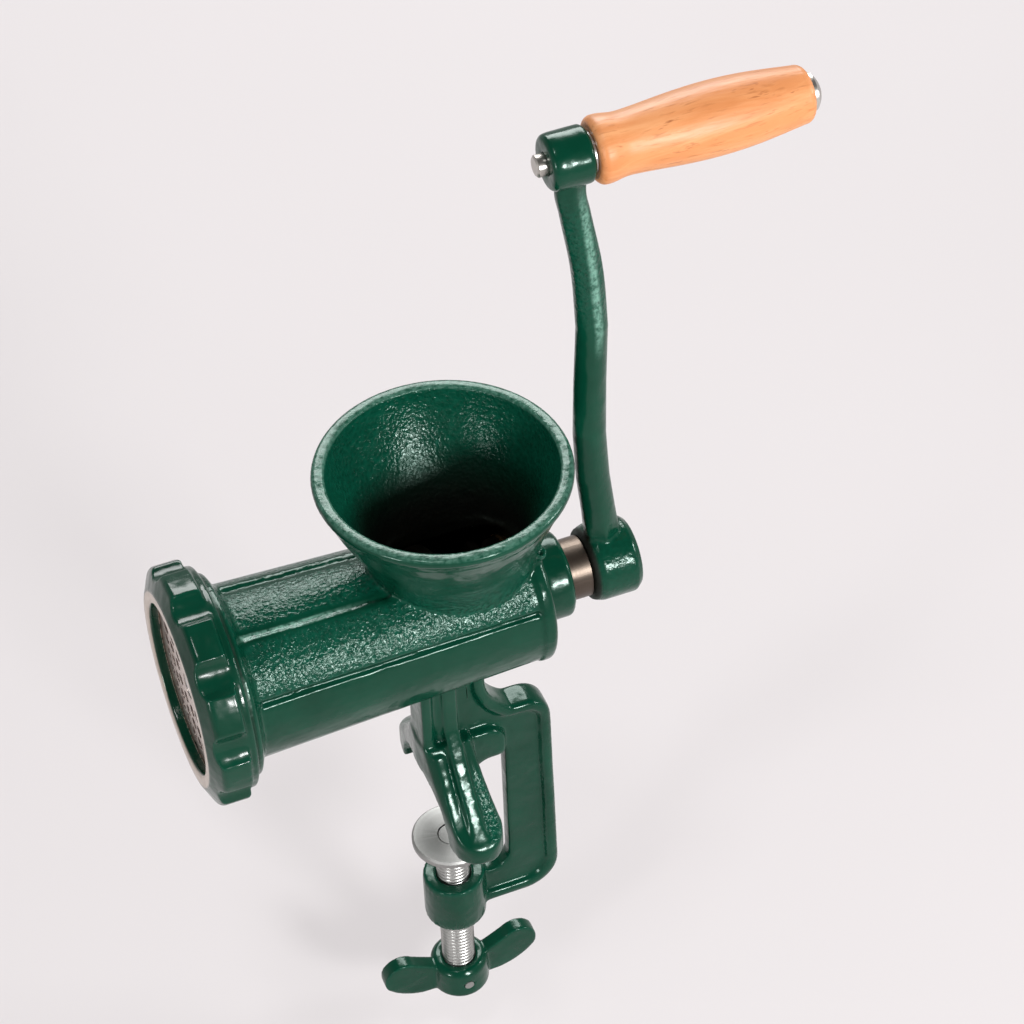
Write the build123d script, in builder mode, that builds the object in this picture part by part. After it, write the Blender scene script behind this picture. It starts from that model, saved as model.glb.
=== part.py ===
from build123d import *
import math
import os

# Hand crank meat grinder, clamp-on, size 10. Millimetres.
# Origin: middle of the two feet on the table top. +X along the barrel towards the crank, +Z up.

# ---- driving dimensions ----
axis_z = 107.0  # barrel axis above the table top
fit = 0.05  # radial clearance of running and threaded fits

# ring nut and barrel mouth
ring_front = -102.5
ring_wall = 4.5
ring_lug_r = 46.0
ring_body_r = 42.6
ring_face_r = 38.2
ring_open_r = 32.9
ring_lugs = 10
lug_turn = 24.5  # first lug from straight up, towards -Y
lug_end = ring_front + 14.6
ring_end = ring_front + 18.0
collar_r = 39.0
mouth_x = ring_front + 5.3
seat_x = ring_front + 10.5

# barrel: a cone that narrows towards the crank
barrel_front = ring_end + 0.5
barrel_r = 33.6
barrel_rear = 32.9
flange_end = 37.8
rear_r = 29.3
boss_end = 50.3
boss_r = 17.0
chamber_front = -74.0
chamber_end = 31.3
bore_r = 26.2
mouth_bore_r = 29.3

# hopper
hopper_x = 5.7
rim_r = 47.8
rim_w = 4.9
rim_h = 72.2  # above the barrel axis
neck_x = hopper_x + 3.1
throat_x = hopper_x + 0.9
throat_along, throat_across = 24.4, 20.0  # half sizes of the oval throat

# cutting set
plate_r = 35.0
plate_t = 6.0
hole_d = 4.8
stud_r = 5.0
square = 10.0
knife_r = 28.0
pin_z = -33.4  # plate pin below the axis

# auger and shaft
auger_front = -82.8
flight_r = 25.7
flight_pitch = 27.0
shaft_r = 12.0
tang_r = 9.5
tang_flat = 7.0
tang_start = 59.1
tang_end = 75.3

# crank
crank_r = 198.0
grip_z = axis_z + crank_r
hub_x0, hub_x1, hub_r = 59.3, 79.0, 15.2
eye_x0, eye_x1, eye_r = 48.2, 63.7, 10.3
bolt_r = 4.0
grip_x0, grip_x1 = 65.0, 145.3
washer_seat = hub_x1 - 3.2

# clamp
screw_r = 7.0
boss_top, boss_bottom = -49.0, -73.0
pad_top = -25.0
pad_r = 16.0
screw_end = -121.0
wing_z = -112.0


def yz(x, z=axis_z):
    # plane across the barrel: local x is +Y, local y is +Z
    return Plane(origin=(x, 0, z), x_dir=(0, 1, 0), z_dir=(1, 0, 0))


def xz(x, z):
    # upright plane along the barrel with its normal to -Y
    return Plane(origin=(x, 0, z), x_dir=(1, 0, 0), z_dir=(0, -1, 0))


def polar(r, deg):
    # point of the barrel's section, deg counted from straight up towards -Y
    return (-r * math.sin(math.radians(deg)), r * math.cos(math.radians(deg)))


def dome(x, r, h):
    # arc from (x, r) to the axis at x + h
    big = (r * r + h * h) / (2 * h)
    half = math.asin(r / big) / 2
    mid = (x + h - big + big * math.cos(half), big * math.sin(half))
    return ThreePointArc((x, r), mid, (x + h, 0))


def barrel_section(r):
    # panels of the casting, each from deg a to deg b at a depth below r, with a groove at each side
    bands = (
        (-22.6, 22.6, 1.5),
        (25.4, 65, 0.0),
        (66.5, 68.5, 1.9),
        (70, 112, 0.3),
        (120, 240, 0.0),
        (248, 290, 0.3),
        (291.5, 293.5, 1.9),
        (295, 334.6, 0.0),
    )
    for i, (a, b, depth) in enumerate(bands):
        start, _, next_depth = bands[(i + 1) % len(bands)]
        ThreePointArc(polar(r - depth, a), polar(r - depth, (a + b) / 2), polar(r - depth, b))
        Line(polar(r - depth, b), polar(r - next_depth, start))


def spine_edge():
    # outer edge of the C bracket, from under the barrel down to the lower arm
    ThreePointArc((19.5, 78), (19.9, 52.6), (26.5, 46.0))
    Line((26.5, 46.0), (32.5, 46.0))
    ThreePointArc((32.5, 46.0), (40, 42.4), (42.9, 34))
    Line((42.9, 34), (44.3, -52))
    ThreePointArc((44.3, -52), (40.7, -63.2), (30.5, -68.5))
    Line((30.5, -68.5), (0, -68.5))


AXIS = Axis((0, 0, axis_z), (1, 0, 0))
GRIP_AXIS = Axis((0, 0, grip_z), (1, 0, 0))
CLAMP_AXIS = Axis.Z
HOPPER_AXIS = Axis((hopper_x, 0, 0), (0, 0, 1))


# ---- barrel shell with its raised and sunk panels ----
with BuildPart() as barrel:
    with BuildSketch(yz(barrel_front)):
        with BuildLine():
            barrel_section(barrel_r)
        make_face()
    with BuildSketch(yz(flange_end - 1.2)):
        with BuildLine():
            barrel_section(rear_r)
        make_face()
    loft(ruled=True)
    # rear flange and shaft boss
    with BuildSketch(xz(0, axis_z)):
        with BuildLine():
            Polyline((barrel_rear - 1.5, 0), (barrel_rear - 1.5, rear_r - 1), (barrel_rear, rear_r + 0.9))
            Line((barrel_rear, rear_r + 0.9), (flange_end - 2.5, rear_r + 0.9))
            RadiusArc((flange_end - 2.5, rear_r + 0.9), (flange_end, rear_r - 1.6), 2.5)
            Polyline(
                (flange_end, rear_r - 1.6),
                (flange_end, boss_r + 2),
                (flange_end + 2, boss_r),
                (boss_end - 1.2, boss_r),
                (boss_end, boss_r - 1.2),
                (boss_end, 0),
                (barrel_rear - 1.5, 0),
            )
        make_face()
    revolve(axis=AXIS)
    # collar that carries the ring nut
    with BuildSketch(xz(0, axis_z)):
        with BuildLine():
            Polyline(
                (mouth_x, 0),
                (mouth_x, collar_r - 1),
                (mouth_x + 1, collar_r),
                (ring_end + 2.5, collar_r),
                (ring_end + 5.5, barrel_r - 1),
                (ring_end + 5.5, 0),
                (mouth_x, 0),
            )
        make_face()
    revolve(axis=AXIS)

# ---- hopper: oval neck, flared bowl and rolled rim ----
with BuildPart() as hopper:
    # height above the barrel axis, middle, half length along the barrel, half width
    for h, x, along, across in (
        (13, neck_x, 31.5, 23.6),
        (28, neck_x - 0.2, 32.5, 26.4),
        (46, hopper_x + 1.0, 38.0, 35.5),
        (66, hopper_x, 45.6, 45.6),
    ):
        with BuildSketch(Plane.XY.offset(axis_z + h)):
            with Locations((x, 0)):
                Ellipse(along, across)
    loft()
    with BuildSketch(xz(hopper_x, axis_z)):
        with BuildLine():
            Line((0, 64), (rim_r - 3, 64))
            ThreePointArc((rim_r - 3, 64), (rim_r - 1.6, 66.4), (rim_r - 0.8, 68.2))
            ThreePointArc((rim_r - 0.8, 68.2), (rim_r, 70.4), (rim_r - 0.8, rim_h))
            Line((rim_r - 0.8, rim_h), (0, rim_h))
            Line((0, rim_h), (0, 64))
        make_face()
    revolve(axis=HOPPER_AXIS)
    # inside of the bowl, down into the oval throat
    for h, x, along, across in (
        (rim_h, hopper_x, rim_r - rim_w, rim_r - rim_w),
        (52, hopper_x + 0.3, 35.6, 34.2),
        (33, throat_x, throat_along + 3.4, throat_across + 3.0),
        (8, throat_x, throat_along, throat_across),
    ):
        with BuildSketch(Plane.XY.offset(axis_z + h)):
            with Locations((x, 0)):
                Ellipse(along, across)
    loft(mode=Mode.SUBTRACT)

# ---- arched feet ----
with BuildPart() as feet:
    with BuildSketch(yz(-16, 0)):
        with BuildLine():
            Line((-39.8, 0), (-39.8, 4))
            ThreePointArc((-39.8, 4), (-38.6, 7.6), (-35.5, 10))
            ThreePointArc((-35.5, 10), (-20.8, 23.2), (-10, 40))
            Line((-10, 40), (10, 40))
            ThreePointArc((10, 40), (20.8, 23.2), (35.5, 10))
            ThreePointArc((35.5, 10), (38.6, 7.6), (39.8, 4))
            Line((39.8, 4), (39.8, 0))
            Line((39.8, 0), (25, 0))
            ThreePointArc((25, 0), (0, 24), (-25, 0))
            Line((-25, 0), (-39.8, 0))
        make_face()
    extrude(amount=30)
    # seen from above, each foot spreads a little and ends in a round toe
    with BuildSketch(Plane.XY):
        for side in (-1, 1):
            with BuildLine():
                Line((-12.6, 0), (7.0, 0))
                Line((7.0, 0), (11.4, side * 29.4))
                ThreePointArc((11.4, side * 29.4), (1.2, side * 39.6), (-9.0, side * 29.4))
                Line((-9.0, side * 29.4), (-12.6, 0))
            make_face()
    extrude(amount=60, mode=Mode.INTERSECT)
    upper = feet.edges().filter_by(lambda e: e.geom_type in (GeomType.ELLIPSE, GeomType.BSPLINE))
    fillet(upper.filter_by(lambda e: abs(e.center().Y) > 10 and e.bounding_box().min.Z > 1), 2.5)

# ---- on each foot a middle rib that runs down from the column, and a low pad beside it ----
with BuildPart() as foot_ribs:
    # along the barrel from, to, height above the foot, length, height of the tip, height at the column
    for x0, x1, lift, reach, tip, top in (
        (-8.8, -4.4, 1.2, 31.0, 13.2, 38.0),
        (-2.6, 3.6, 2.4, 36.2, 9.8, 47.0),
    ):
        head_y = 7.7 + 0.5 * (47.0 - top)
        with BuildSketch(yz(x0, 0)):
            for side in (-1, 1):
                with BuildLine():
                    Polyline(
                        (side * reach, tip),
                        (side * reach, 8.2),
                        (side * 5, 33.0),
                        (side * 5, top),
                        (side * head_y, top),
                    )
                    top_point, toe_point = (side * head_y, top), (side * reach, tip)
                    ThreePointArc(top_point, (side * (19.4 + lift), 24.0 + lift), toe_point)
                make_face()
        extrude(amount=x1 - x0)

# ---- column, web and C bracket ----
with BuildPart() as bracket:
    # column between barrel and feet, with a strip at each side
    for x0, x1, half in ((-10.6, 2.6, 6.0), (-11.2, -6.8, 7.8), (-2.6, 3.6, 7.8)):
        with BuildSketch(Plane.XY.offset(33)):
            with Locations(((x0 + x1) / 2, 0)):
                Rectangle(x1 - x0, 2 * half)
        extrude(amount=46)
    # thin plate: web under the barrel, spine and lower arm
    with BuildSketch(xz(0, 0).offset(-3.5)):
        with BuildLine():
            Line((-5.5, 78), (19.5, 78))
            spine_edge()
            Line((0, -68.5), (0, -52.5))
            Line((0, -52.5), (15.5, -52.5))
            ThreePointArc((15.5, -52.5), (21.3, -49.8), (23.7, -44))
            Line((23.7, -44), (23.7, 30))
            Line((23.7, 30), (-5.5, 30))
            Line((-5.5, 30), (-5.5, 78))
        make_face()
    extrude(amount=7)
    # threaded boss for the clamp screw
    with BuildSketch(Plane.XY.offset(boss_bottom)):
        Circle(12.8)
    extrude(amount=boss_top - boss_bottom)

# ---- rounded anvil between the column and the spine ----
with BuildPart() as anvil:
    with BuildSketch(xz(0, 0).offset(-8)):
        with BuildLine():
            Line((0.5, 38), (14, 38.5))
            ThreePointArc((14, 38.5), (20.4, 36.2), (23.2, 30))
            Line((23.2, 30), (23.2, 26))
            ThreePointArc((23.2, 26), (22.1, 23), (19.1, 22))
            Line((19.1, 22), (16, 22))
            ThreePointArc((16, 22), (10.1, 18.8), (8.5, 10))
            Line((8.5, 10), (0.5, 14))
            Line((0.5, 14), (0.5, 38))
        make_face()
    extrude(amount=16)
    fillet(anvil.edges().group_by(Axis.Y)[0] + anvil.edges().group_by(Axis.Y)[-1], 2.0)

# ---- rounded bead that stiffens the outer edge of the bracket ----
with BuildPart() as bead:
    with BuildSketch(xz(0, 0).offset(-6.5)):
        with BuildLine():
            Line((13.5, 78), (19.5, 78))
            spine_edge()
            Line((0, -68.5), (0, -63))
            Line((0, -63), (29, -63))
            ThreePointArc((29, -63), (36.5, -59.0), (38.9, -52))
            Line((38.9, -52), (37.7, 33))
            ThreePointArc((37.7, 33), (36.1, 38.4), (31.3, 40.5))
            Line((31.3, 40.5), (24.5, 40.5))
            ThreePointArc((24.5, 40.5), (15.1, 50), (13.5, 78))
        make_face()
    extrude(amount=13)
    fillet(bead.edges().group_by(Axis.Y)[0] + bead.edges().group_by(Axis.Y)[-1], 2.2)

# ---- whole body casting ----
nib = Plane(origin=(36.6, -13.0, axis_z + 26.4), x_dir=(1, 0, 0), z_dir=(0, -0.44, 0.9))
with BuildPart() as body_casting:
    add(barrel.part)
    add(hopper.part)
    add(bracket.part)
    add(bead.part)
    add(anvil.part)
    add(feet.part)
    add(foot_ribs.part)
    # oil nib on the rear flange
    with BuildSketch(nib):
        Circle(2.6)
    extrude(amount=4.4)
    # chamber, plate recess, throat and bores: start, radius, length
    for x, r, length in (
        (chamber_front - 1, bore_r, chamber_end - chamber_front + 1),
        (seat_x - 0.01, mouth_bore_r, chamber_front - seat_x),
        (mouth_x - 1, plate_r + fit, seat_x - mouth_x + 1),
        (chamber_end - 1, 15.0, 30),
    ):
        with BuildSketch(yz(x)):
            Circle(r)
        extrude(amount=length, mode=Mode.SUBTRACT)
    with BuildSketch(Plane.XY.offset(axis_z + 8)):
        with Locations((throat_x, 0)):
            Ellipse(throat_along, throat_across)
    extrude(amount=22, mode=Mode.SUBTRACT)
    with BuildSketch(nib):
        Circle(1.1)
    extrude(amount=8, mode=Mode.SUBTRACT)
    with BuildSketch(yz(mouth_x - 1)):
        with Locations((0, pin_z)):
            Circle(2.0)
    extrude(amount=12, mode=Mode.SUBTRACT)
    with BuildSketch(Plane.XY.offset(boss_bottom - 1)):
        Circle(screw_r + fit)
    extrude(amount=boss_top - boss_bottom + 2, mode=Mode.SUBTRACT)

# ---- plate pin ----
with BuildPart() as plate_pin:
    with BuildSketch(yz(mouth_x)):
        with Locations((0, pin_z)):
            Circle(1.97)
    extrude(amount=10.9)

# ---- rear bush ----
with BuildPart() as rear_bush:
    with BuildSketch(yz(chamber_end + 0.3)):
        Circle(14.97)
        Circle(shaft_r + fit, mode=Mode.SUBTRACT)
    extrude(amount=15.0)

# ---- thrust washer ----
with BuildPart() as thrust_washer:
    with BuildSketch(yz(chamber_end - 2)):
        Circle(21.0)
        Circle(shaft_r + 0.1, mode=Mode.SUBTRACT)
    extrude(amount=1.95)

# ---- ring nut ----
with BuildPart() as ring_nut:
    with BuildSketch(xz(0, axis_z)):
        with BuildLine():
            Polyline(
                (ring_front, ring_open_r + 0.8),
                (ring_front, ring_face_r),
                (ring_front + 3.2, ring_lug_r - 0.8),
                (ring_front + 4.4, ring_lug_r),
                (lug_end - 0.8, ring_lug_r),
                (lug_end, ring_lug_r - 0.8),
                (lug_end, ring_body_r),
                (ring_end - 0.8, ring_body_r),
                (ring_end, ring_body_r - 0.8),
                (ring_end, collar_r + fit),
                (ring_front + ring_wall, collar_r + fit),
                (ring_front + ring_wall, ring_open_r),
                (ring_front + 0.8, ring_open_r),
                (ring_front, ring_open_r + 0.8),
            )
        make_face()
    revolve(axis=AXIS)
    # concave grips between the lugs
    with BuildSketch(yz(ring_front - 1)):
        for k in range(ring_lugs):
            with Locations(polar(ring_body_r + 10.0, lug_turn + (k + 0.5) * 360 / ring_lugs)):
                Circle(10.0)
    extrude(amount=lug_end - ring_front + 1, mode=Mode.SUBTRACT)

# ---- perforated cutting plate ----
with BuildPart() as cutting_plate:
    with BuildSketch(yz(ring_front + ring_wall)):
        Circle(plate_r)
        Circle(stud_r + fit, mode=Mode.SUBTRACT)
        for ring in range(3):
            r = 12.0 + 6.6 * ring
            with PolarLocations(r, 11 + 6 * ring, start_angle=9 * ring):
                Circle(hole_d / 2, mode=Mode.SUBTRACT)
        with Locations((0, pin_z)):
            Circle(2.05, mode=Mode.SUBTRACT)
        with Locations((0, pin_z - 2)):
            Rectangle(4.1, 4.0, mode=Mode.SUBTRACT)
    extrude(amount=plate_t)

# ---- four-blade knife ----
with BuildPart() as knife:
    with BuildSketch(yz(seat_x + 0.02)):
        Circle(11.0)
        for k in range(4):
            with Locations(Location((0, 0, 0), (0, 0, 90 * k))):
                Polygon(
                    (0, -4.2), (knife_r - 1.5, -4.2), (knife_r, -2.6),
                    (knife_r - 1.2, 1.8), (8, 6.8), (0, 4.2),
                    align=None,
                )
        Rectangle(square + 0.1, square + 0.1, mode=Mode.SUBTRACT)
    extrude(amount=5.5)
    with BuildSketch(yz(seat_x + 5.5)):
        Circle(11.0)
        Rectangle(square + 0.1, square + 0.1, mode=Mode.SUBTRACT)
    extrude(amount=3.4)

# ---- auger stud ----
with BuildPart() as auger_stud:
    with BuildSketch(yz(ring_front + ring_wall + 0.3)):
        Circle(stud_r)
    extrude(amount=plate_t - 0.2)
    with BuildSketch(yz(seat_x + 0.1)):
        Rectangle(square, square)
    extrude(amount=auger_front - seat_x - 0.1)
    with BuildSketch(yz(auger_front)):
        Circle(4.5)
    extrude(amount=18)

# ---- auger ----
with BuildPart() as auger:
    with BuildLine() as flight_path:
        Helix(flight_pitch, 103, 9.0, center=(auger_front + 2.2, 0, axis_z), direction=(1, 0, 0))
    start = flight_path.line @ 0
    radial = Vector(0, start.Y, start.Z - axis_z).normalized()
    with BuildSketch(Plane(origin=start, x_dir=radial, z_dir=flight_path.line % 0)):
        with Locations(((flight_r - 9.0) / 2, 0)):
            Rectangle(flight_r - 9.0, 4.4)
    sweep(path=flight_path.line, is_frenet=True)
    with BuildSketch(xz(0, axis_z)):
        with BuildLine():
            Polyline(
                (auger_front, 0),
                (auger_front, 11.0),
                (chamber_end - 7.5, 14.0),
                (chamber_end - 5.5, 20.0),
                (chamber_end - 2.05, 20.0),
                (chamber_end - 2.05, shaft_r),
                (tang_start, shaft_r),
                (tang_start, 0),
                (auger_front, 0),
            )
        make_face()
    revolve(axis=AXIS)
    with BuildSketch(yz(tang_start)):
        Circle(tang_r)
        Rectangle(2 * tang_flat, 3 * tang_r, mode=Mode.INTERSECT)
    extrude(amount=tang_end - tang_start)
    with BuildSketch(yz(auger_front - 0.5)):
        Circle(4.5 + 0.03)
    extrude(amount=19, mode=Mode.SUBTRACT)
    with BuildSketch(yz(tang_end + 1)):
        Circle(bolt_r + 0.03)
    extrude(amount=-17, mode=Mode.SUBTRACT)
    # keep the flight inside the chamber
    with BuildSketch(yz(auger_front)):
        Circle(flight_r)
    extrude(amount=tang_end - auger_front, mode=Mode.INTERSECT)

# ---- crank arm ----
with BuildPart() as crank_arm:
    with BuildSketch(xz(0, axis_z)):
        with BuildLine():
            Polyline(
                (hub_x0, 0), (hub_x0, hub_r - 2.2), (hub_x0 + 0.8, hub_r - 1.2), (hub_x0 + 4.2, hub_r),
                (hub_x1 - 2.5, hub_r), (hub_x1, hub_r - 2.0), (hub_x1, 0), (hub_x0, 0),
            )
        make_face()
    revolve(axis=AXIS)
    with BuildSketch(xz(0, grip_z)):
        with BuildLine():
            Polyline(
                (eye_x0, 0), (eye_x0, eye_r - 1.6), (eye_x0 + 1.2, eye_r - 0.3), (eye_x0 + 3.5, eye_r),
                (eye_x1 - 1.0, eye_r), (eye_x1, eye_r - 1.0), (eye_x1, 0), (eye_x0, 0),
            )
        make_face()
    revolve(axis=GRIP_AXIS)
    # gently curved arm, six-sided with soft edges: height above the shaft and middle of each section
    for rise, x in (
        (5, 67.5), (26, 66.3), (46, 64.1), (68, 63.0), (94, 63.5), (120, 64.5), (152, 62.3), (190, 58.2),
    ):
        w = 13.5 - 2.7 * rise / crank_r
        t = 12.0 - 3.0 * rise / crank_r
        with BuildSketch(Plane.XY.offset(axis_z + rise)):
            with Locations((x, 0)):
                Polygon(
                    (-w / 2, -t * 0.22), (0, -t / 2), (w / 2, -t * 0.22),
                    (w / 2, t * 0.22), (0, t / 2), (-w / 2, t * 0.22),
                    align=None,
                )
            fillet(vertices(), 1.6)
    loft()
    with BuildSketch(yz(hub_x0 - 1)):
        Circle(tang_r + 0.05)
        Rectangle(2 * tang_flat + 0.1, 3 * tang_r, mode=Mode.INTERSECT)
    extrude(amount=30, mode=Mode.SUBTRACT)
    with BuildSketch(yz(washer_seat)):
        Circle(10.6)
    extrude(amount=10, mode=Mode.SUBTRACT)
    with BuildSketch(yz(eye_x0 - 1)):
        with Locations((0, crank_r)):
            Circle(bolt_r)
    extrude(amount=30, mode=Mode.SUBTRACT)

# ---- crank washer and screw ----
with BuildPart() as crank_washer:
    with BuildSketch(yz(washer_seat + 0.02)):
        Circle(10.0)
        Circle(bolt_r + 0.2, mode=Mode.SUBTRACT)
    extrude(amount=1.5)

head = washer_seat + 1.54
with BuildPart() as crank_screw:
    with BuildSketch(xz(0, axis_z)):
        with BuildLine():
            Polyline((head - 17, 0), (head - 17, bolt_r), (head, bolt_r), (head, 7.5), (head + 1.8, 7.5))
            dome(head + 1.8, 7.5, 1.9)
            Line((head + 3.7, 0), (head - 17, 0))
        make_face()
    revolve(axis=AXIS)
    with BuildSketch(yz(head + 2.4)):
        Rectangle(20, 1.8)
    extrude(amount=3, mode=Mode.SUBTRACT)

# ---- grip bolt, washer and grip ----
with BuildPart() as grip_bolt:
    with BuildSketch(xz(0, grip_z)):
        with BuildLine():
            Polyline((eye_x0 - 3.7, 0), (eye_x0 - 3.7, bolt_r - 0.8), (eye_x0 - 3.1, bolt_r - 0.03))
            Line((eye_x0 - 3.1, bolt_r - 0.03), (grip_x1 + 0.15, bolt_r - 0.03))
            Polyline((grip_x1 + 0.15, bolt_r - 0.03), (grip_x1 + 0.15, 6.9), (grip_x1 + 1.6, 6.9))
            dome(grip_x1 + 1.6, 6.9, 3.0)
            Line((grip_x1 + 4.6, 0), (eye_x0 - 3.7, 0))
        make_face()
    revolve(axis=GRIP_AXIS)

with BuildPart() as grip_washer:
    with BuildSketch(yz(eye_x1 + 0.05)):
        with Locations((0, crank_r)):
            Circle(7.6)
            Circle(bolt_r + 0.1, mode=Mode.SUBTRACT)
    extrude(amount=1.1)

grip_length = grip_x1 - grip_x0
with BuildPart() as grip:
    with BuildSketch(xz(grip_x0, grip_z)):
        with BuildLine():
            Line((0, bolt_r + 0.05), (0, 9.6))
            ThreePointArc((0, 9.6), (1.0, 11.4), (3.0, 12.1))
            Spline(
                (3.0, 12.1), (5.2, 12.0), (9.5, 11.3), (14.5, 11.3), (27, 12.3), (42, 13.1), (58, 12.6),
                (70, 11.3), (77.0, 10.4),
            )
            ThreePointArc((77.0, 10.4), (79.4, 9.5), (grip_length, 7.6))
            Line((grip_length, 7.6), (grip_length, bolt_r + 0.05))
            Line((grip_length, bolt_r + 0.05), (0, bolt_r + 0.05))
        make_face()
    revolve(axis=GRIP_AXIS)

# ---- clamp: swivel pad, rivet, screw, wing and pin ----
with BuildPart() as swivel_pad:
    with BuildSketch(xz(0, 0)):
        with BuildLine():
            Polyline(
                (3.1, pad_top - 2.0), (5.6, pad_top - 2.0), (5.6, pad_top), (pad_r - 0.8, pad_top),
                (pad_r, pad_top - 0.8), (pad_r, pad_top - 2.8), (9.5, pad_top - 6.0), (3.1, pad_top - 6.0),
                (3.1, pad_top - 2.0),
            )
        make_face()
    revolve(axis=CLAMP_AXIS)

with BuildPart() as pad_rivet:
    with BuildSketch(xz(0, 0)):
        with BuildLine():
            Polyline(
                (0, pad_top - 0.3), (5.0, pad_top - 0.3), (5.4, pad_top - 0.7), (5.4, pad_top - 1.95),
                (3.0, pad_top - 1.95), (3.0, pad_top - 16.0), (0, pad_top - 16.0), (0, pad_top - 0.3),
            )
        make_face()
    revolve(axis=CLAMP_AXIS)

with BuildPart() as clamp_screw:
    with BuildSketch(xz(0, 0)):
        with BuildLine():
            Polyline(
                (3.03, pad_top - 6.05), (screw_r - 1.0, pad_top - 6.05), (screw_r, pad_top - 7.05),
                (screw_r, screw_end + 1), (screw_r - 1.0, screw_end), (0, screw_end), (0, pad_top - 17.0),
                (3.03, pad_top - 17.0), (3.03, pad_top - 6.05),
            )
        make_face()
    revolve(axis=CLAMP_AXIS)
    with BuildSketch(xz(0, wing_z).offset(-20)):
        Circle(2.0)
    extrude(amount=40, mode=Mode.SUBTRACT)

with BuildPart() as clamp_wing:
    with BuildSketch(xz(0, 0)):
        with BuildLine():
            Polyline(
                (screw_r + 0.04, wing_z + 8), (10.0, wing_z + 8), (12.0, wing_z + 6), (12.5, wing_z - 6),
                (11.0, wing_z - 8), (screw_r + 0.04, wing_z - 8), (screw_r + 0.04, wing_z + 8),
            )
        make_face()
    revolve(axis=CLAMP_AXIS)
    # two flat lobes
    with BuildSketch(xz(0, wing_z).offset(-3.2)):
        for side in (-1, 1):
            with BuildLine():
                Line((side * 9, 6), (side * 20, 12))
                ThreePointArc((side * 20, 12), (side * 32, 11.5), (side * 33, 2))
                ThreePointArc((side * 33, 2), (side * 24, -5), (side * 9, -7))
                Line((side * 9, -7), (side * 9, 6))
            make_face()
    extrude(amount=6.4)
    with BuildSketch(xz(0, wing_z).offset(-20)):
        Circle(2.0)
    extrude(amount=40, mode=Mode.SUBTRACT)
    with BuildSketch(Plane.XY.offset(screw_end)):
        Circle(screw_r + 0.04)
    extrude(amount=18, mode=Mode.SUBTRACT)

with BuildPart() as clamp_wing_pin:
    with BuildSketch(xz(0, wing_z).offset(-12.2)):
        Circle(1.98)
    extrude(amount=24.4)

# ---- files ----
os.makedirs("parts", exist_ok=True)
body_casting.part.label = "body_casting"
plate_pin.part.label = "plate_pin"
rear_bush.part.label = "rear_bush"
thrust_washer.part.label = "thrust_washer"
ring_nut.part.label = "ring_nut"
cutting_plate.part.label = "cutting_plate"
knife.part.label = "knife"
auger_stud.part.label = "auger_stud"
auger.part.label = "auger"
crank_arm.part.label = "crank_arm"
crank_washer.part.label = "crank_washer"
crank_screw.part.label = "crank_screw"
grip_bolt.part.label = "grip_bolt"
grip_washer.part.label = "grip_washer"
grip.part.label = "grip"
swivel_pad.part.label = "swivel_pad"
pad_rivet.part.label = "pad_rivet"
clamp_screw.part.label = "clamp_screw"
clamp_wing.part.label = "clamp_wing"
clamp_wing_pin.part.label = "clamp_wing_pin"
export_step(body_casting.part, "parts/body_casting.step")
export_step(plate_pin.part, "parts/plate_pin.step")
export_step(rear_bush.part, "parts/rear_bush.step")
export_step(thrust_washer.part, "parts/thrust_washer.step")
export_step(ring_nut.part, "parts/ring_nut.step")
export_step(cutting_plate.part, "parts/cutting_plate.step")
export_step(knife.part, "parts/knife.step")
export_step(auger_stud.part, "parts/auger_stud.step")
export_step(auger.part, "parts/auger.step")
export_step(crank_arm.part, "parts/crank_arm.step")
export_step(crank_washer.part, "parts/crank_washer.step")
export_step(crank_screw.part, "parts/crank_screw.step")
export_step(grip_bolt.part, "parts/grip_bolt.step")
export_step(grip_washer.part, "parts/grip_washer.step")
export_step(grip.part, "parts/grip.step")
export_step(swivel_pad.part, "parts/swivel_pad.step")
export_step(pad_rivet.part, "parts/pad_rivet.step")
export_step(clamp_screw.part, "parts/clamp_screw.step")
export_step(clamp_wing.part, "parts/clamp_wing.step")
export_step(clamp_wing_pin.part, "parts/clamp_wing_pin.step")
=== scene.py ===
import math

import bpy
import numpy as np
from mathutils import Matrix, Vector

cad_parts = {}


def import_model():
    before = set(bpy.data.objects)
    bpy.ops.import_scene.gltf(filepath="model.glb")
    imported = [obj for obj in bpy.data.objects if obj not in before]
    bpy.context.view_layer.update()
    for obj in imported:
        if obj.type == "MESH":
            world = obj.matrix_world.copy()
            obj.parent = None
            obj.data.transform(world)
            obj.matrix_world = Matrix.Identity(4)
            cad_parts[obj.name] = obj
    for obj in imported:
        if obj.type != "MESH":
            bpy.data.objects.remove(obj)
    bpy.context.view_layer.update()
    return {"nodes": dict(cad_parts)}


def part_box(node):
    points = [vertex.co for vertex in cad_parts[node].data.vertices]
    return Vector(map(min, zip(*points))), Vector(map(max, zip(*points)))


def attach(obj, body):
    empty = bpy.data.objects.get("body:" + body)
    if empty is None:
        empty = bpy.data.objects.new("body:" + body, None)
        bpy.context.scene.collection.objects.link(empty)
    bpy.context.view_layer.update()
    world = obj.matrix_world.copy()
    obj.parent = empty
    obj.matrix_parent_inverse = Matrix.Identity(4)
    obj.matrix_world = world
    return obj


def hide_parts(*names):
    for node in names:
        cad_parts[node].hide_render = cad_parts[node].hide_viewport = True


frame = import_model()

nodes = frame["nodes"]

# ---- places taken from the frame, in metres ----
CAST_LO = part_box("body_casting")[0]
RING_LO, RING_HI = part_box("ring_nut")
SCREW_LO, SCREW_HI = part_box("clamp_screw")
AXIS_Z = sum(corner.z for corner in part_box("auger_stud")) / 2  # barrel and crank axis
GRIP_Z = sum(corner.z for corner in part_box("grip")) / 2
CRANK_R = GRIP_Z - AXIS_Z

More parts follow.
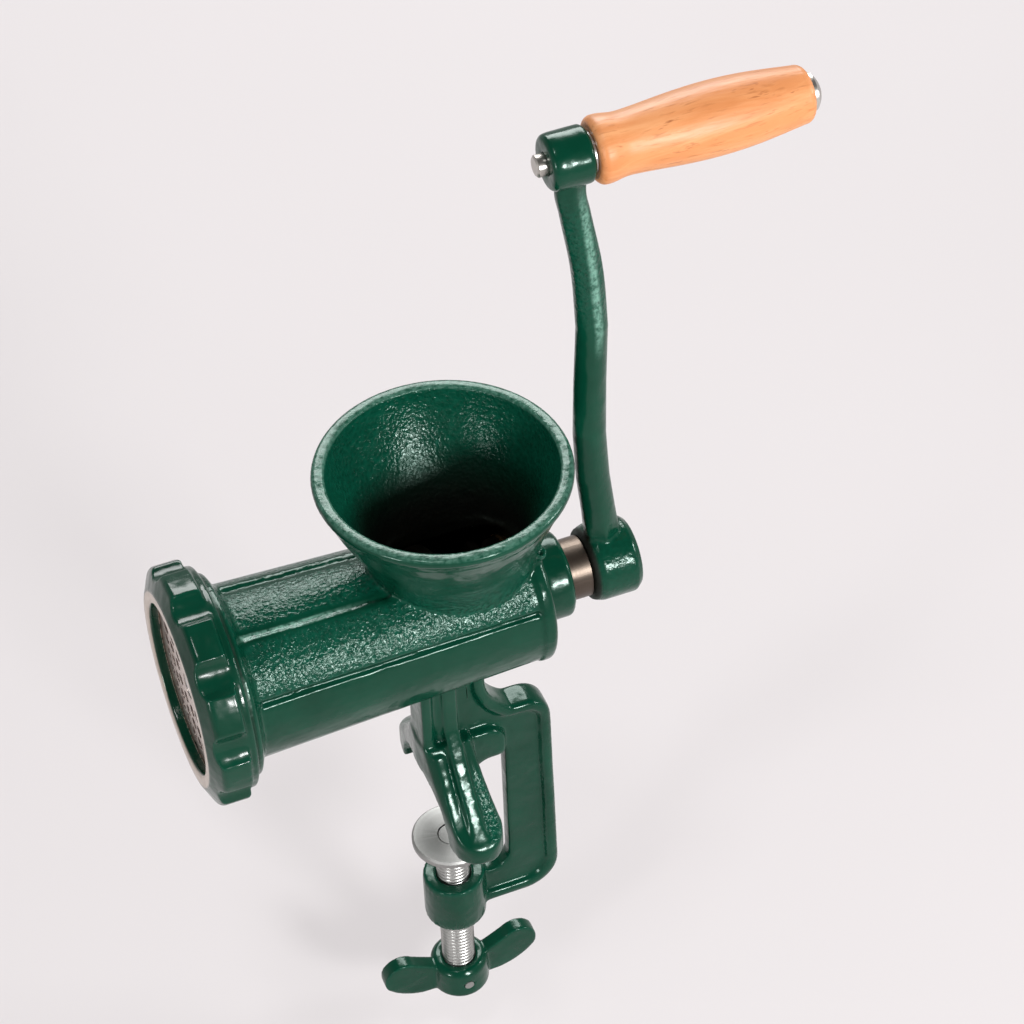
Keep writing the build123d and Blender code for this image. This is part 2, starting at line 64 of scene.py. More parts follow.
# ---- sizes of the casting that its box doesn't give ----
HOPPER_X = 0.0057
BARREL_FRONT, BARREL_REAR = RING_HI.x, 0.0329
COLLAR_R = 0.039
COLLAR_PITCH, COLLAR_DEPTH = 0.004, 0.0008
RING_FACE_R = 0.0378  # outer edge of the ring nut's machined face
RING_WALL = 0.0042  # its thread starts this far behind the face
BORE_R = 0.0262
BUSH_R = 0.0155
CHAMBER_REAR = 0.0320
OUTSIDE_R = 0.0280  # between the chamber's wall and the barrel's outer faces
STEP_OUTER_R = 0.0350  # top of the step between the barrel's panels
FEET_TOP = 0.055  # the clamp bracket and the feet are below this
BRACKET_X = 0.0315  # the bracket's upright is behind this
# heights over the barrel axis
NECK_H = 0.038
BOWL_H = 0.033
THROAT_H = 0.014
RIM_H = 0.0716
THROAT_R = 0.038
# panels round the barrel, in degrees from the top, and the step beside the sunk one
PANELS = ((-64, -27), (-19, 19), (27, 66))
STEP_LOW, STEP_HIGH = 20.4, 27.5
STEP_ROUGHNESS = 0.00022
STEP_FADES = (-0.052, -0.026)  # where the painted highlight on the step fades, along X
# the pockets on top of the feet
POCKET_X, POCKET_Y, POCKET_Z = (0.0036, 0.0125), 0.0165, (0.006, 0.034)

# ---- crank arm: height above the shaft, and middle along X ----
ARM_LINE = (
    (0.005, 0.0675),
    (0.026, 0.0663),
    (0.046, 0.0641),
    (0.068, 0.0630),
    (0.094, 0.0635),
    (0.120, 0.0645),
    (0.152, 0.0623),
    (0.190, 0.0582),
)
ARM_WIDTH, ARM_WIDTH_LOST = 0.0135, 0.0027
ARM_THICK, ARM_THICK_LOST = 0.0120, 0.0030
ARM_FROM, ARM_TO = 0.017, CRANK_R - 0.013  # heights at which it leaves its two hubs
RIDGE_FROM, RIDGE_TO, RIDGE_X = 0.105, 0.190, 0.0012  # its heights, and its place off the middle
HUB_FACE_X = 0.0614  # the lower hub is bare iron from here towards the barrel, painted near-black as shade

# ---- clamp screw ----
SCREW_R, SCREW_ROOT, SCREW_PITCH = 0.007, 0.0059, 0.002
ROD_SIDES, ROD_STEPS = 40, 4  # faces round the rod, and rows to a turn of its thread
ROD_CHAMFER = 0.001

# ---- skins: voxel size, smoothing passes, share of the faces kept ----
BODY_SKIN = (0.00075, 2, 0.40)
ARM_SKIN = (0.0006, 4, 1.0)
WING_SKIN = (0.0006, 6, 1.0)
RING_SKIN = (0.0006, 2, 1.0)

# ---- colours, linear ----
GREEN = ((0.0004, 0.020, 0.010), (0.0016, 0.052, 0.028))
# painted shade for the enamel's hollows
GREEN_HOLLOW_SHADE = (0.0006, 0.016, 0.010)
# painted highlight for the enamel's outer edges
GREEN_EDGE_HIGHLIGHT = (0.022, 0.17, 0.115)
# painted highlight for the ring nut's outer edges
GREEN_RING_EDGE_HIGHLIGHT = (0.03, 0.20, 0.14)
GREEN_HAMMERED = ((0.0008, 0.024, 0.014), (0.004, 0.10, 0.06))
# painted highlight colour for the barrel's step, the hopper rim and the arm's ridge
GREEN_PAINTED_HIGHLIGHT = (0.19, 0.38, 0.30)
# near-black: bare iron with painted shade over it
BARE_IRON_AND_SHADE = ((0.003, 0.003, 0.002), (0.016, 0.015, 0.012))
RING_STEEL = ((0.42, 0.36, 0.31), (0.74, 0.66, 0.58))
PLATE_STEEL = ((0.27, 0.225, 0.20), (0.58, 0.50, 0.46))
KNIFE_STEEL = ((0.25, 0.25, 0.24), (0.55, 0.55, 0.53))
# tinned iron, made darker as painted shade for the auger inside the barrel
TINNED_IRON_AND_SHADE = ((0.050, 0.040, 0.032), (0.17, 0.135, 0.11))
PIN_STEEL = ((0.4, 0.4, 0.39), (0.7, 0.7, 0.68))
BRONZE = ((0.30, 0.17, 0.07), (0.60, 0.38, 0.17))
ZINC = ((0.35, 0.35, 0.34), (0.66, 0.67, 0.66))
BOLT_STEEL = ((0.36, 0.34, 0.31), (0.62, 0.60, 0.56))
ROD_ZINC = ((0.26, 0.26, 0.25), (0.56, 0.56, 0.54))
PAD_ZINC = ((0.14, 0.14, 0.135), (0.34, 0.34, 0.33))
BEECH = ((0.66, 0.275, 0.105), (0.52, 0.18, 0.055))
BEECH_PALE_GRAIN = (0.72, 0.35, 0.155)
BEECH_FLECK = (0.30, 0.09, 0.025)
BEECH_PORE = (0.40, 0.14, 0.04)
FLOOR_SHEET = ((0.265, 0.252, 0.254), (0.285, 0.271, 0.273))
FLOOR_GLOW = (0.93, 0.88, 0.89)
WALLS = (1.0, 0.985, 0.985)

# ---- stage ----
FLOOR_SIZE, FLOOR_BELOW = 12, 0.074  # the clamp screw hangs clear of the floor
WALL_LOW, WALL_HIGH = 0.62, 0.07  # brightness at the horizon and overhead
WALL_HIGH_Z = 0.75  # sine of the elevation at which the walls are darkest
LIGHT_AIM = (0.0, 0.0, 0.12)
# name, place, width and height in metres, watts
SOFTBOXES = (
    ("front", (0.32, -1.22, 0.64), (0.28, 0.20), 18),
    ("left", (-1.20, -0.72, 0.52), (0.19, 0.19), 6),
    ("right", (1.25, -0.38, 0.62), (0.20, 0.20), 6),
    ("back", (0.42, 1.22, 1.10), (1.1, 0.60), 26),
    ("over", (-0.35, -0.35, 1.75), (0.22, 0.22), 5),
)
CAMERA_PLACE = (-0.25606, -0.78661, 0.98379)
CAMERA_RIGHT = (0.92883, -0.36947, -0.02785)
CAMERA_UP = (0.27971, 0.64993, 0.70665)
CAMERA_SENSOR, CAMERA_LENS = 36.0, 112.763


# ------------------------------------------------------------------ node helpers
class Graph:
    """A material's nodes, wired by short calls."""

    def __init__(self, name):
        self.material = bpy.data.materials.new(name)
        self.material.use_nodes = True
        self.tree = self.material.node_tree
        self.shader = self.tree.nodes["Principled BSDF"]
        self.coords = self.tree.nodes.new("ShaderNodeTexCoord").outputs["Object"]

    def put(self, socket, value):
        if isinstance(value, bpy.types.NodeSocket):
            self.tree.links.new(value, socket)
        elif isinstance(value, tuple) and len(value) == 3 and socket.type == "RGBA":
            socket.default_value = (*value, 1)
        else:
            socket.default_value = value

    def math(self, operation, a, b=0.0):
        node = self.tree.nodes.new("ShaderNodeMath")
        node.operation = operation
        self.put(node.inputs[0], a)
        self.put(node.inputs[1], b)
        return node.outputs[0]

    def add(self, a, b):
        return self.math("ADD", a, b)

    def times(self, a, b):
        return self.math("MULTIPLY", a, b)

    def stretch(self, scale, turn=(0, 0, 0)):
        """Coordinates stretched by scale and turned."""
        node = self.tree.nodes.new("ShaderNodeMapping")
        self.put(node.inputs["Vector"], self.coords)
        node.inputs["Scale"].default_value = scale
        node.inputs["Rotation"].default_value = turn
        return node.outputs[0]

    def noise(self, scale, detail=2.0, rough=0.5, where=None, distortion=0.0):
        node = self.tree.nodes.new("ShaderNodeTexNoise")
        self.put(node.inputs["Vector"], where or self.coords)
        node.inputs["Scale"].default_value = scale
        node.inputs["Detail"].default_value = detail
        node.inputs["Roughness"].default_value = rough
        node.inputs["Distortion"].default_value = distortion
        return node.outputs["Fac"]

    def cells(self, scale):
        node = self.tree.nodes.new("ShaderNodeTexVoronoi")
        node.feature = "SMOOTH_F1"
        self.put(node.inputs["Vector"], self.coords)
        node.inputs["Scale"].default_value = scale
        return node.outputs["Distance"]

    def attribute(self, name):
        node = self.tree.nodes.new("ShaderNodeAttribute")
        node.attribute_name = name
        return node.outputs["Fac"]

    def ramp(self, value, low, high):
        """A grey ramp between two stops, each given as (position, brightness)."""
        node = self.tree.nodes.new("ShaderNodeValToRGB")
        self.put(node.inputs[0], value)
        for element, (position, brightness) in zip(node.color_ramp.elements, (low, high)):
            element.position = position
            element.color = (brightness, brightness, brightness, 1)
        return node.outputs[0]

    def mix(self, factor, a, b):
        node = self.tree.nodes.new("ShaderNodeMix")
        node.data_type = "RGBA"
        self.put(node.inputs[0], factor)
        self.put(node.inputs[6], a)
        self.put(node.inputs[7], b)
        return node.outputs[2]

    def bump(self, height, distance, strength, under=None):
        node = self.tree.nodes.new("ShaderNodeBump")
        node.inputs["Distance"].default_value = distance
        self.put(node.inputs["Strength"], strength)
        self.put(node.inputs["Height"], height)
        if under is not None:
            self.put(node.inputs["Normal"], under)
        return node.outputs[0]

    def edges(self, low, high):
        """0 where the surface is as hollow as low, 1 where it stands out as much as high."""
        node = self.tree.nodes.new("ShaderNodeNewGeometry")
        return self.ramp(node.outputs["Pointiness"], (low, 0.0), (high, 1.0))

    def set(self, **values):
        for key, value in values.items():
            self.put(self.shader.inputs[key.replace("_", " ")], value)
        return self.material


# ------------------------------------------------------------------ materials
def enamel_colour(graph, edge_highlight):
    """Deep green, with a painted highlight on outer edges and painted shade in hollows."""
    colour = graph.mix(graph.noise(38, detail=3, rough=0.55), *GREEN)
    # painted highlight on outer edges
    colour = graph.mix(graph.times(graph.edges(0.52, 0.62), 0.35), colour, edge_highlight)
    # painted shade in hollows
    return graph.mix(graph.edges(0.40, 0.48), GREEN_HOLLOW_SHADE, colour)


def enamel(name, textured=False):
    """Thick glossy stove enamel; a textured one is hammered, carries painted highlights, or is
    bare iron painted near-black as shade, where painted so.
    """
    graph = Graph(name)
    colour = enamel_colour(graph, GREEN_EDGE_HIGHLIGHT)
    rough = graph.add(0.13, graph.times(graph.noise(420, detail=2, rough=0.6), 0.12))
    normal = graph.bump(graph.noise(70), distance=0.0016, strength=0.6)
    normal = graph.bump(graph.noise(300), distance=0.00018, strength=0.55, under=normal)
    metallic = 0.0
    if textured:
        hammer = graph.attribute("hammer")
        wrinkles = graph.noise(950, distortion=0.5)
        pits = graph.cells(650)
        height = graph.add(wrinkles, graph.times(pits, -0.8))
        normal = graph.bump(height, distance=0.00032, strength=hammer, under=normal)
        colour = graph.mix(graph.times(hammer, 0.5), colour, graph.mix(pits, *GREEN_HAMMERED))
        # painted highlight in patches, with a little bump of its own
        patches = graph.ramp(graph.noise(520, detail=3, rough=0.7), (0.36, 0.15), (0.60, 1.0))
        painted_highlight = graph.times(graph.attribute("painted_highlight"), patches)
        colour = graph.mix(painted_highlight, colour, GREEN_PAINTED_HIGHLIGHT)
        normal = graph.bump(wrinkles, distance=0.0004, strength=painted_highlight, under=normal)
        # bare iron, painted near-black as shade
        bare_and_shade = graph.attribute("bare_and_shade")
        iron = graph.mix(graph.noise(260, detail=3, rough=0.6), *BARE_IRON_AND_SHADE)
        colour = graph.mix(bare_and_shade, colour, iron)
        rough = graph.add(rough, graph.times(bare_and_shade, 0.35))
        metallic = graph.times(bare_and_shade, 0.3)
    graph.set(Base_Color=colour, Roughness=rough, Normal=normal, Metallic=metallic)
    return graph.set(Specular_IOR_Level=0.27, Specular_Tint=(0.80, 1.0, 0.92))


def ring_enamel(name):
    """Smooth enamel with a bright machined front face and thread."""
    graph = Graph(name)
    machined = graph.attribute("machined")
    colour = enamel_colour(graph, GREEN_RING_EDGE_HIGHLIGHT)
    colour = graph.mix(machined, colour, graph.mix(graph.noise(120, detail=3), *RING_STEEL))
    rough = graph.add(0.12, graph.times(graph.noise(420, detail=2, rough=0.6), 0.12))
    rough = graph.add(rough, graph.times(machined, 0.18))
    normal = graph.bump(graph.noise(80), distance=0.0013, strength=0.6)
    graph.set(Base_Color=colour, Metallic=machined, Roughness=rough, Normal=normal)
    return graph.set(Specular_IOR_Level=0.27)


def turned(name, colours, centre_z, rough=0.25, marks=900, along="X"):
    """Metal turned about an axis at height centre_z, or about Z, with tool marks and stains."""
    dark, light = colours
    graph = Graph(name)
    split = graph.tree.nodes.new("ShaderNodeSeparateXYZ")
    graph.put(split.inputs[0], graph.coords)
    x, y, z = split.outputs
    length = x if along == "X" else z
    across = (y, graph.math("SUBTRACT", z, centre_z)) if along == "X" else (x, y)
    squares = [graph.math("POWER", side, 2.0) for side in across]
    radius = graph.math("SQRT", graph.add(*squares))
    join = graph.tree.nodes.new("ShaderNodeCombineXYZ")
    graph.put(join.inputs[0], graph.times(radius, marks * 3.0))
    graph.put(join.inputs[1], graph.times(length, marks * 3.0))
    lines = graph.noise(1.0, detail=3, where=join.outputs[0])
    colour = graph.mix(graph.noise(90, detail=4, rough=0.6), dark, light)
    colour = graph.mix(graph.times(lines, 0.35), colour, dark)
    worn = tuple(min(1.0, 1.5 * channel) for channel in light)
    colour = graph.mix(graph.times(graph.edges(0.52, 0.60), 0.5), colour, worn)
    rough = graph.add(rough, graph.times(lines, 0.14))
    normal = graph.bump(lines, distance=0.00003, strength=0.6)
    graph.set(Base_Color=colour, Metallic=1.0, Roughness=rough, Normal=normal)
    return graph.set(Anisotropic=0.35)


def wood(name):
    """Oiled turned beech, grain along the grip."""
    graph = Graph(name)
    along_grip = graph.stretch((16, 150, 150))
    grain = graph.noise(1.0, detail=5, rough=0.62, where=along_grip, distortion=1.2)
    askew = graph.stretch((9, 42, 42), turn=(0.0, 0.1, 0.25))
    rings = graph.noise(1.0, where=askew, distortion=2.2)
    pores = graph.noise(1.0, where=graph.stretch((120, 900, 900)))
    fleck_places = graph.stretch((70, 320, 320), turn=(0, 0.3, 0.5))
    flecks = graph.noise(1.0, detail=3, rough=0.7, where=fleck_places)
    pale_grain = graph.times(graph.ramp(grain, (0.42, 0.0), (0.66, 1.0)), 0.6)
    colour = graph.mix(rings, *BEECH)
    colour = graph.mix(pale_grain, colour, BEECH_PALE_GRAIN)
    colour = graph.mix(graph.ramp(flecks, (0.64, 0.0), (0.72, 0.85)), colour, BEECH_FLECK)
    colour = graph.mix(graph.ramp(pores, (0.58, 0.0), (0.72, 0.6)), colour, BEECH_PORE)
    rough = graph.add(0.34, graph.times(pores, 0.2))
    normal = graph.bump(graph.add(grain, pores), distance=0.00018, strength=0.5)
    graph.set(Base_Color=colour, Roughness=rough, Normal=normal)
    return graph.set(IOR=1.45)


def plain_floor(name):
    """Matt studio sheet, lit through from below."""
    graph = Graph(name)
    colour = graph.mix(graph.noise(3.0), *FLOOR_SHEET)
    normal = graph.bump(graph.noise(40), distance=0.0004, strength=0.1)
    graph.set(Base_Color=colour, Roughness=0.95, Normal=normal)
    return graph.set(Emission_Color=FLOOR_GLOW, Emission_Strength=0.46)


# ------------------------------------------------------------------ mesh helpers
def cast(name, source, voxel, passes, keep):
    """The node's shape as a foundry casting: one skin with soft edges and filled corners."""
    piece = bpy.data.objects.new(name, source.data.copy())
    bpy.context.scene.collection.objects.link(piece)
    for kind, settings in (
        ("REMESH", {"mode": "VOXEL", "voxel_size": voxel, "adaptivity": 0.0}),
        ("SMOOTH", {"factor": 0.5, "iterations": passes}),
        ("DECIMATE", {"ratio": keep}),
    ):
        modifier = piece.modifiers.new(kind.lower(), kind)
        for key, value in settings.items():
            setattr(modifier, key, value)
    depsgraph = bpy.context.evaluated_depsgraph_get()
    mesh = bpy.data.meshes.new_from_object(piece.evaluated_get(depsgraph))
    piece.modifiers.clear()
    piece.data = mesh
    for polygon in mesh.polygons:
        polygon.use_smooth = True
    return piece


def points_of(mesh):
    values = np.zeros(len(mesh.vertices) * 3)
    mesh.vertices.foreach_get("co", values)
    return values.reshape(-1, 3)


def normals_of(mesh):
    values = np.zeros(len(mesh.vertices) * 3, np.float32)
    mesh.vertex_normals.foreach_get("vector", values)
    return values.reshape(-1, 3).astype(float)


def set_points(mesh, points):
    mesh.vertices.foreach_set("co", points.reshape(-1))
    mesh.update()


def soften(mesh, weight, passes):
    """Rounds the mesh where weight is 1 and leaves it alone where weight is 0."""
    points = points_of(mesh)
    ends = np.zeros(len(mesh.edges) * 2, np.int64)
    mesh.edges.foreach_get("vertices", ends)
    a, b = ends.reshape(-1, 2).T
    neighbours = np.bincount(a, minlength=len(points)) + np.bincount(b, minlength=len(points))
    neighbours = np.maximum(neighbours, 1)
    for _ in range(passes):
        for axis in range(3):
            place = points[:, axis]
            total = np.bincount(a, place[b], len(points)) + np.bincount(b, place[a], len(points))
            points[:, axis] += 0.5 * weight * (total / neighbours - place)
    set_points(mesh, points)


def paint(mesh, name, values):
    layer = mesh.attributes.new(name, "FLOAT", "POINT")
    layer.data.foreach_set("value", np.clip(values, 0, 1).astype(np.float32))


def step(value, low, high):
    """Smooth 0 to 1 as value goes from low to high."""
    t = np.clip((value - low) / (high - low), 0, 1)
    return t * t * (3 - 2 * t)


def below(value, low, high):
    """Smooth 1 to 0 as value goes from low to high."""
    return 1 - step(value, low, high)


def window(value, low, high, soft):
    """1 between low and high, with soft ends inside them."""
    return step(value, low, low + soft) * below(value, high - soft, high)


def triangle(phase):
    """Wave between 0 and 1 with period 1."""
    return np.abs((phase % 1.0) * 2 - 1)


def finish_piece(piece, body, material, node):
    """Gives a new piece its material and body, and hides the node it stands for."""
    piece.data.materials.clear()
    piece.data.materials.append(material)
    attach(piece, body)
    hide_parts(node)


def give(node, material):
    """Gives a CAD node that stays visible its material."""
    mesh = nodes[node].data
    mesh.materials.clear()
    mesh.materials.append(material)


# ------------------------------------------------------------------ body casting
class Places:
    """Where each point lies about the barrel's axis and the hopper's."""

    def __init__(self, points):
        self.x, self.y, self.z = points.T.copy()
        self.h = self.z - AXIS_Z
        self.radius = np.hypot(self.y, self.h)
        self.angle = np.degrees(np.arctan2(-self.y, self.h))  # from the top, towards -Y
        self.bowl_r = np.hypot(self.x - HOPPER_X, self.y)


def push_in(points, at, depth):
    """Moves points towards the barrel's axis."""
    points[:, 1] -= at.y / at.radius * depth
    points[:, 2] -= at.h / at.radius * depth


def rough_step(points, at):
    """The step from the sunk top panel up to the side panels, as the mould left it."""
    on_step = window(at.x, BARREL_FRONT + 0.0045, BARREL_REAR - 0.0015, 0.0015)
    on_step *= window(at.radius, OUTSIDE_R - 0.0015, STEP_OUTER_R + 0.0005, 0.001)
    on_step *= window(np.abs(at.angle), STEP_LOW + 0.6, STEP_HIGH, 1.0)
    ripple = 1 + np.sin(at.x * 900) * np.sin(at.x * 2300 + 1.0)
    push_in(points, at, STEP_ROUGHNESS * ripple * on_step)


def collar_thread(points, at):
    """Cuts the thread into the collar and returns where it is."""
    on_collar = window(at.x, CAST_LO.x + 0.0006, BARREL_FRONT + 0.0012, 0.0008)
    on_collar *= step(at.radius, COLLAR_R - 0.0015, COLLAR_R - 0.0008)
    turns = np.arctan2(at.h, at.y) / (2 * math.pi)
    push_in(points, at, COLLAR_DEPTH * triangle(at.x / COLLAR_PITCH + turns) * on_collar)
    return on_collar


def on_barrel(at):
    """The outside of the barrel between its ends, under the hopper's neck."""
    along = window(at.x, BARREL_FRONT + 0.004, BARREL_REAR - 0.001, 0.003)
    outside = step(at.radius, OUTSIDE_R - 0.0005, OUTSIDE_R + 0.0005)
    return along * outside * below(at.h, NECK_H - 0.002, NECK_H + 0.002)


def hammered_places(at, z, normals, facing_in):
    """Three panels of the barrel, the inside of the hopper and the pockets on the feet."""
    panels = on_barrel(at) * sum(window(at.angle, low, high, 3) for low, high in PANELS)
    bowl = 0.8 * step(at.h, BOWL_H - 0.003, BOWL_H + 0.003) * facing_in
    pocket = window(at.x, *POCKET_X, 0.0015) * window(z, *POCKET_Z, 0.004)
    pocket *= step(np.abs(at.y), POCKET_Y - 0.0025, POCKET_Y + 0.0025)
    pocket *= step(normals[:, 2], 0.1, 0.4)
    return np.maximum.reduce([panels, bowl, pocket])


def painted_highlight_places(at):
    """Painted highlight on the step on the -Y side, fading before the hopper's neck, and faintly
    on the rim's edge.
    """
    step_face = 0.70 * window(at.angle, STEP_LOW, STEP_HIGH - 1.3, 1.2) * on_barrel(at)
    rim = 0.28 * step(at.h, RIM_H - 0.0004, RIM_H + 0.0004)
    return np.maximum(step_face * below(at.x, *STEP_FADES), rim)


def bare_and_shaded_places(at, facing_in, on_collar):
    """Bare iron in the chamber, the bush's seat, the throat, the mouth and the thread, painted
    near-black as shade; the throat's part reaches up the bowl as painted shade.
    """
    chamber = below(at.radius, BORE_R + 0.0006, BORE_R + 0.0016)
    chamber *= below(at.x, CHAMBER_REAR - 0.0004, CHAMBER_REAR + 0.0004)
    bush_seat = below(at.radius, BUSH_R - 0.0002, BUSH_R + 0.0003)
    throat = facing_in * below(at.bowl_r, THROAT_R - 0.002, THROAT_R + 0.002)
    throat *= step(at.h, THROAT_H - 0.002, THROAT_H + 0.002)
    throat *= below(at.h, BOWL_H - 0.003, BOWL_H + 0.021)
    mouth = below(at.x, CAST_LO.x + 0.006, CAST_LO.x + 0.008)
    return np.maximum.reduce([chamber, bush_seat, throat, mouth, on_collar])


def body_skin(material):
    piece = cast("body_cast_skin", nodes["body_casting"], *BODY_SKIN)
    mesh = piece.data
    points = points_of(mesh)
    at = Places(points)
    rough_step(points, at)
    on_collar = collar_thread(points, at)
    set_points(mesh, points)
    # the bracket and the feet are rounder than the barrel
    low = below(points[:, 2], FEET_TOP - 0.005, FEET_TOP + 0.005)
    bracket = low * step(at.x, BRACKET_X - 0.001, BRACKET_X + 0.001)
    soften(mesh, bracket, 7)
    soften(mesh, 0.8 * low * (1 - bracket), 5)
    z = points_of(mesh)[:, 2]
    normals = normals_of(mesh)
    outwards = (at.x - HOPPER_X) * normals[:, 0] + at.y * normals[:, 1]
    facing_in = step(-outwards / np.maximum(at.bowl_r, 1e-6), 0.2, 0.5)
    # painted highlight on the barrel's step and the hopper rim
    paint(mesh, "painted_highlight", painted_highlight_places(at))
    paint(mesh, "hammer", hammered_places(at, z, normals, facing_in))
    # painted shade: near-black in the chamber, the throat and lower bowl, and on the bare faces
    paint(mesh, "bare_and_shade", bare_and_shaded_places(at, facing_in, on_collar))
    finish_piece(piece, "base", material, "body_casting")


# ------------------------------------------------------------------ crank arm
def arm_middle(rise):
    return np.interp(rise, *zip(*ARM_LINE))


def round_arm(mesh):
    """Draws the six-sided arm towards an oval, less so in its upper third, where a ridge stays."""
    points = points_of(mesh)
    rise = points[:, 2] - AXIS_Z
    middle = arm_middle(rise)
    half_width = (ARM_WIDTH - ARM_WIDTH_LOST * rise / CRANK_R) / 2
    half_thick = (ARM_THICK - ARM_THICK_LOST * rise / CRANK_R) / 2
    u, v = (points[:, 0] - middle) / half_width, points[:, 1] / half_thick
    length = np.maximum(np.hypot(u, v), 1e-6)
    amount = window(rise, ARM_FROM, ARM_TO, 0.012)
    amount *= 0.85 - 0.45 * step(rise, RIDGE_FROM + 0.005, RIDGE_FROM + 0.045)
    pull = 1 + amount * (0.99 / length - 1)
    points[:, 0] = middle + u * half_width * pull
    points[:, 1] = v * half_thick * pull
    set_points(mesh, points)


def crank_arm(material):
    piece = cast("crank_arm_casting", nodes["crank_arm"], *ARM_SKIN)
    mesh = piece.data
    round_arm(mesh)
    x, _, z = points_of(mesh).T
    rise = z - AXIS_Z
    on_hub = step(rise, -0.020, -0.016) * below(rise, 0.0165, 0.0185)
    # painted shade: the lower hub's face towards the barrel, near-black
    paint(mesh, "bare_and_shade", below(x, HUB_FACE_X - 0.0008, HUB_FACE_X + 0.0008) * on_hub)
    upper = 0.8 * window(rise, RIDGE_FROM + 0.010, RIDGE_TO, 0.02)
    paint(mesh, "hammer", np.maximum(upper, 0.3 * (rise < ARM_FROM + 0.001)))
    # painted highlight along the arm's ridge
    off_ridge = np.abs(x - arm_middle(rise) - RIDGE_X)
    ridge = below(off_ridge, 0.0006, 0.0024) * window(rise, RIDGE_FROM, RIDGE_TO, 0.02)
    paint(mesh, "painted_highlight", 0.7 * ridge)
    finish_piece(piece, "drive", material, "crank_arm")


# ------------------------------------------------------------------ wing, ring nut and screw
def clamp_wing(material):
    piece = cast("clamp_wing_casting", nodes["clamp_wing"], *WING_SKIN)
    finish_piece(piece, "screw", material, "clamp_wing")


def ring_nut(material):
    piece = cast("ring_nut_casting", nodes["ring_nut"], *RING_SKIN)
    mesh = piece.data
    x, y, z = points_of(mesh).T
    radius = np.hypot(y, z - AXIS_Z)
    face = below(x, RING_LO.x + 0.0003, RING_LO.x + 0.0008)
    face *= below(radius, RING_FACE_R - 0.0003, RING_FACE_R + 0.0003)
    thread = below(radius, COLLAR_R + 0.0002, COLLAR_R + 0.0008) * (x > RING_LO.x + RING_WALL)
    paint(mesh, "machined", np.maximum(face, thread))
    finish_piece(piece, "ring", material, "ring_nut")


def clamp_screw(material):
    """A rod on the Z axis with a helical thread and plain chamfered ends."""
    bottom, length = SCREW_LO.z, SCREW_HI.z - SCREW_LO.z
    rows = int(round(length / SCREW_PITCH * ROD_STEPS))
    points = []
    for row in range(rows + 1):
        rise = length * row / rows
        ends = max(0.0, min(1.0, rise / ROD_CHAMFER, (length - rise) / ROD_CHAMFER))
        for side in range(ROD_SIDES):
            angle = 2 * math.pi * side / ROD_SIDES
            crest = triangle((bottom + rise) / SCREW_PITCH - side / ROD_SIDES)
            crest = min(1.0, max(0.0, (crest - 0.12) / 0.76))  # flat crests and roots
            radius = SCREW_ROOT + (SCREW_R - SCREW_ROOT) * crest * ends
            points.append((radius * math.cos(angle), radius * math.sin(angle), bottom + rise))
    faces = []
    for start in range(0, rows * ROD_SIDES, ROD_SIDES):
        above = start + ROD_SIDES
        for side in range(ROD_SIDES):
            after = (side + 1) % ROD_SIDES
            faces.append((start + side, start + after, above + after, above + side))
    faces.append(tuple(range(ROD_SIDES - 1, -1, -1)))
    faces.append(tuple(rows * ROD_SIDES + side for side in range(ROD_SIDES)))
    mesh = bpy.data.meshes.new("clamp_screw_threaded")
    mesh.from_pydata(points, [], faces)
    mesh.update()
    for polygon in mesh.polygons:
        polygon.use_smooth = len(polygon.vertices) == 4
    piece = bpy.data.objects.new("clamp_screw_threaded", mesh)
    bpy.context.scene.collection.objects.link(piece)
    finish_piece(piece, "screw", material, "clamp_screw")


# ------------------------------------------------------------------ the whole grinder
def build():
    hammered_green = enamel("green_enamel_hammered", textured=True)
    body_skin(hammered_green)
    crank_arm(hammered_green)
    clamp_wing(enamel("green_enamel_smooth"))
    ring_nut(ring_enamel("ring_enamel_and_steel"))
    clamp_screw(turned("zinc_rod", ROD_ZINC, AXIS_Z, along="Z"))

    bronze = turned("bronze", BRONZE, AXIS_Z, 0.28)
    zinc = turned("zinc_steel", ZINC, AXIS_Z, 0.24)
    pad_zinc = turned("pad_zinc", PAD_ZINC, AXIS_Z, 0.42, along="Z")
    finishes = {
        "cutting_plate": turned("plate_steel", PLATE_STEEL, AXIS_Z, 0.28),
        "knife": turned("knife_steel", KNIFE_STEEL, AXIS_Z, 0.24),
        "auger": turned("tinned_iron", TINNED_IRON_AND_SHADE, AXIS_Z, 0.30, 700),
        "auger_stud": turned("stud_steel", PIN_STEEL, AXIS_Z, 0.2),
        "plate_pin": turned("pin_steel", PIN_STEEL, AXIS_Z, 0.2),
        "rear_bush": bronze,
        "thrust_washer": bronze,
        "crank_washer": zinc,
        "crank_screw": zinc,
        "grip_bolt": turned("bright_steel", BOLT_STEEL, GRIP_Z, 0.24, 500),
        "grip_washer": turned("washer_zinc", ZINC, GRIP_Z, 0.24),
        "swivel_pad": pad_zinc,
        "pad_rivet": pad_zinc,
        "clamp_wing_pin": pad_zinc,
        "grip": wood("oiled_beech"),
    }
    for node, material in finishes.items():
        give(node, material)


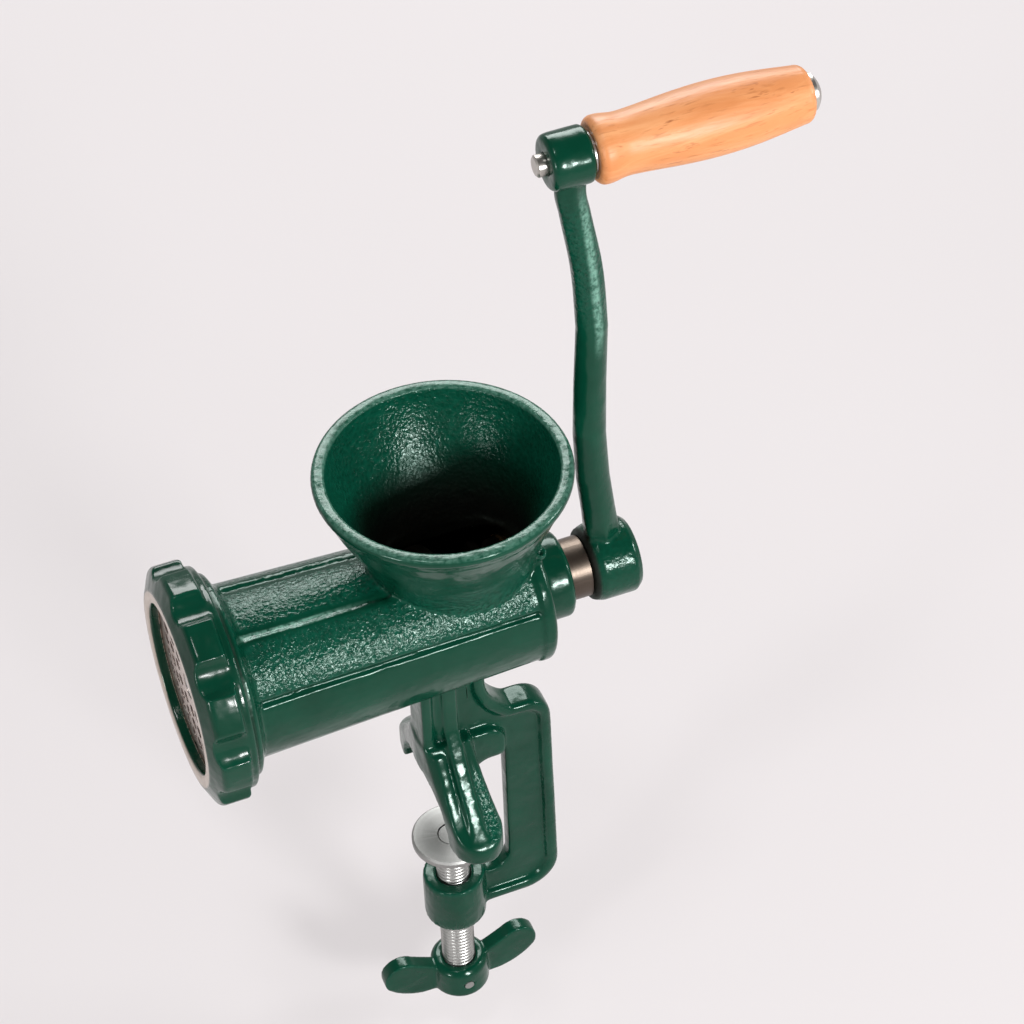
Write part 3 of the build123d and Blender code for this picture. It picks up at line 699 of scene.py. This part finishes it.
# ------------------------------------------------------------------ stage, light and camera
def stage():
    bpy.ops.mesh.primitive_plane_add(size=FLOOR_SIZE, location=(0, 0, CAST_LO.z - FLOOR_BELOW))
    floor = bpy.context.object
    floor.name = "floor"
    floor.data.materials.append(plain_floor("pale_floor"))


def softbox(name, place, size, power):
    data = bpy.data.lights.new(name, "AREA")
    data.shape = "RECTANGLE"
    data.size, data.size_y = size
    data.energy = power
    lamp = bpy.data.objects.new(name, data)
    bpy.context.scene.collection.objects.link(lamp)
    lamp.location = place
    lamp.rotation_mode = "QUATERNION"
    lamp.rotation_quaternion = (Vector(LIGHT_AIM) - Vector(place)).to_track_quat("-Z", "Y")


def world():
    """Dim studio walls, brighter low down."""
    studio = bpy.data.worlds.new("studio")
    bpy.context.scene.world = studio
    studio.use_nodes = True
    tree = studio.node_tree
    split = tree.nodes.new("ShaderNodeSeparateXYZ")
    tree.links.new(tree.nodes.new("ShaderNodeTexCoord").outputs["Generated"], split.inputs[0])
    brightness = tree.nodes.new("ShaderNodeMapRange")
    tree.links.new(split.outputs["Z"], brightness.inputs["Value"])
    brightness.inputs["From Min"].default_value = 0.0
    brightness.inputs["From Max"].default_value = WALL_HIGH_Z
    brightness.inputs["To Min"].default_value = WALL_LOW
    brightness.inputs["To Max"].default_value = WALL_HIGH
    background = tree.nodes["Background"]
    background.inputs["Color"].default_value = (*WALLS, 1)
    tree.links.new(brightness.outputs["Result"], background.inputs["Strength"])


def camera():
    data = bpy.data.cameras.new("camera")
    data.sensor_width, data.lens = CAMERA_SENSOR, CAMERA_LENS
    data.clip_start, data.clip_end = 0.05, 50
    eye = bpy.data.objects.new("camera", data)
    bpy.context.scene.collection.objects.link(eye)
    right, up = Vector(CAMERA_RIGHT), Vector(CAMERA_UP)
    turn = Matrix((right, up, right.cross(up).normalized())).transposed().to_4x4()
    eye.matrix_world = Matrix.Translation(CAMERA_PLACE) @ turn
    bpy.context.scene.camera = eye


def look():
    settings = bpy.context.scene.view_settings
    settings.view_transform = "Standard"
    settings.look = "None"
    settings.exposure = 0.0


build()
stage()
world()
for box in SOFTBOXES:
    softbox(*box)
camera()
look()
